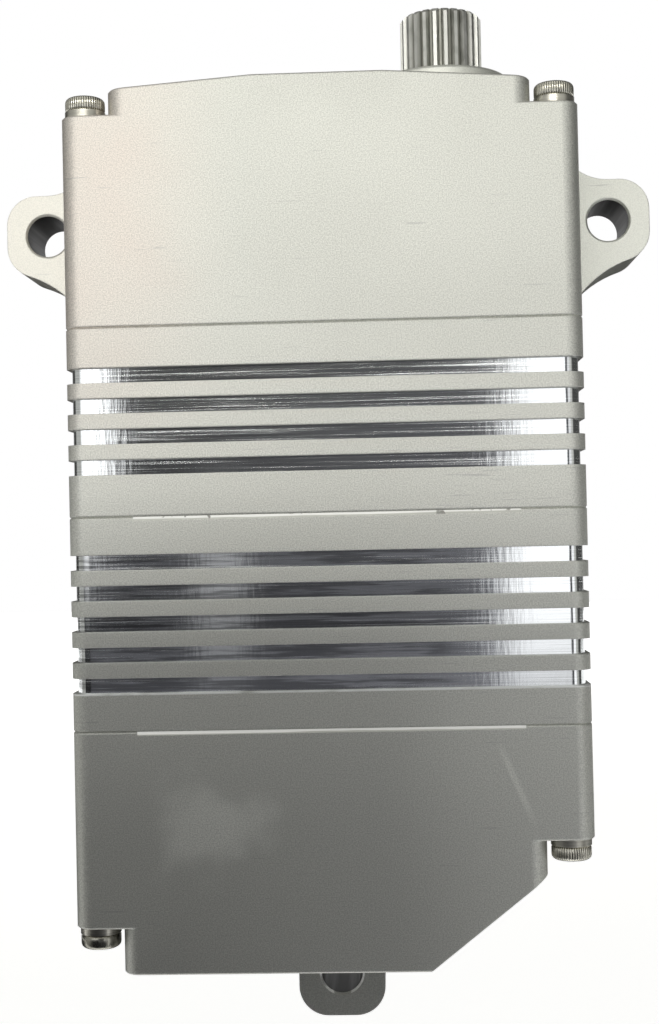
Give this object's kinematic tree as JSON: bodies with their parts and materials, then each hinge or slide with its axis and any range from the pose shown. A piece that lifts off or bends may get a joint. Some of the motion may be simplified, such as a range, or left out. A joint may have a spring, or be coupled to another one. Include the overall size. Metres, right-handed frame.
{
  "type": "brushless servo motor",
  "caption": "Tall finned servo in a stacked metal case: a brushless motor turns a splined output shaft through a spur gear train, with side and bottom bolt lugs.",
  "frame": {"origin": "on the output axis, level with the top face of the output boss", "axes": "+Z along the output shaft out of the case, +X across the wide front face towards the output side, -Y out of the front face"},
  "size_m": [0.0975, 0.0358, 0.1482],
  "materials": {
    "case_aluminium": "bead-blasted and clear anodised, groove floors bare",
    "screw_steel": "bright, turned",
    "shaft_steel": "ground and polished",
    "gear_steel": "hobbed teeth, thin oil film",
    "plate_aluminium": "milled",
    "bronze": "sintered bronze",
    "seal_rubber": "matt",
    "motor_steel": "plated sheet steel",
    "copper": "enamelled copper wire",
    "magnet_plate": "nickel plated",
    "board_green": "fibreglass board with solder mask",
    "chip_black": "moulded",
    "capacitor_sleeve": "shrink sleeve",
    "connector_plastic": "moulded",
    "contact_gold": "gold plated"
  },
  "bodies": {
    "casing": {"gear_case": "case_aluminium", "upper_finned_case": "case_aluminium", "lower_finned_case": "case_aluminium", "bottom_cover": "case_aluminium", "case_seals": "seal_rubber", "top_case_screws": "screw_steel", "bottom_case_screws": "screw_steel", "lock_washers": "screw_steel", "gear_plate": "plate_aluminium", "gear_plate_screws": "screw_steel", "intermediate_pin": "shaft_steel", "thrust_washers": "shaft_steel", "output_bearing_cup": "shaft_steel", "output_bearing_rollers": "shaft_steel", "output_lower_bush": "bronze", "output_seal": "seal_rubber", "motor_can": "motor_steel", "motor_front_flange": "plate_aluminium", "motor_rear_flange": "plate_aluminium", "motor_bearing_outer_rings": "shaft_steel", "motor_screws": "screw_steel", "stator_core": "motor_steel", "stator_windings": "copper", "hall_board": "board_green", "sensor_board": "board_green", "sensor_chip": "chip_black", "sensor_spacers": "plate_aluminium", "power_board": "board_green", "power_transistors": "chip_black", "heat_spreader": "plate_aluminium", "capacitors": "capacitor_sleeve", "control_board": "board_green", "control_chips": "chip_black", "board_screws": "screw_steel", "connector_shell": "connector_plastic", "connector_pins": "contact_gold"},
    "output": {"output_shaft": "shaft_steel", "output_gear": "gear_steel", "output_magnet": "magnet_plate", "output_retaining_clip": "shaft_steel"},
    "first_compound": {"first_wheel": "gear_steel", "first_pinion": "gear_steel"},
    "second_compound": {"second_wheel": "gear_steel", "second_pinion": "gear_steel"},
    "third_compound": {"third_wheel": "gear_steel", "third_pinion": "gear_steel"},
    "rotor": {"motor_shaft": "shaft_steel", "motor_pinion": "gear_steel", "rotor_core": "motor_steel", "rotor_magnets": "magnet_plate", "motor_bearing_inner_rings": "shaft_steel"}
  },
  "joints": [
    {"name": "rotor_spin", "type": "hinge", "parent": "casing", "child": "rotor", "pos_m": [-0.0335, 0, 0], "axis": [0, 0, 1], "range_deg": [-10800, 10800]},
    {"name": "first_compound_spin", "type": "hinge", "parent": "casing", "child": "first_compound", "pos_m": [-0.0175, 0, 0], "axis": [0, 0, 1], "range_deg": [-2500, 2500]},
    {"name": "second_compound_spin", "type": "hinge", "parent": "casing", "child": "second_compound", "pos_m": [0, 0, 0], "axis": [0, 0, 1], "range_deg": [-740, 740]},
    {"name": "third_compound_spin", "type": "hinge", "parent": "casing", "child": "third_compound", "pos_m": [-0.0175, 0, 0], "axis": [0, 0, 1], "range_deg": [-256, 256]},
    {"name": "output_spin", "type": "hinge", "parent": "casing", "child": "output", "pos_m": [0, 0, 0], "axis": [0, 0, 1], "range_deg": [-90, 90]}
  ],
  "couplings": [
    {"joint": "first_compound_spin", "follows": "rotor_spin", "ratio": -0.23077},
    {"joint": "second_compound_spin", "follows": "rotor_spin", "ratio": 0.068376},
    {"joint": "third_compound_spin", "follows": "rotor_spin", "ratio": -0.023669},
    {"joint": "output_spin", "follows": "rotor_spin", "ratio": 0.008316}
  ]
}
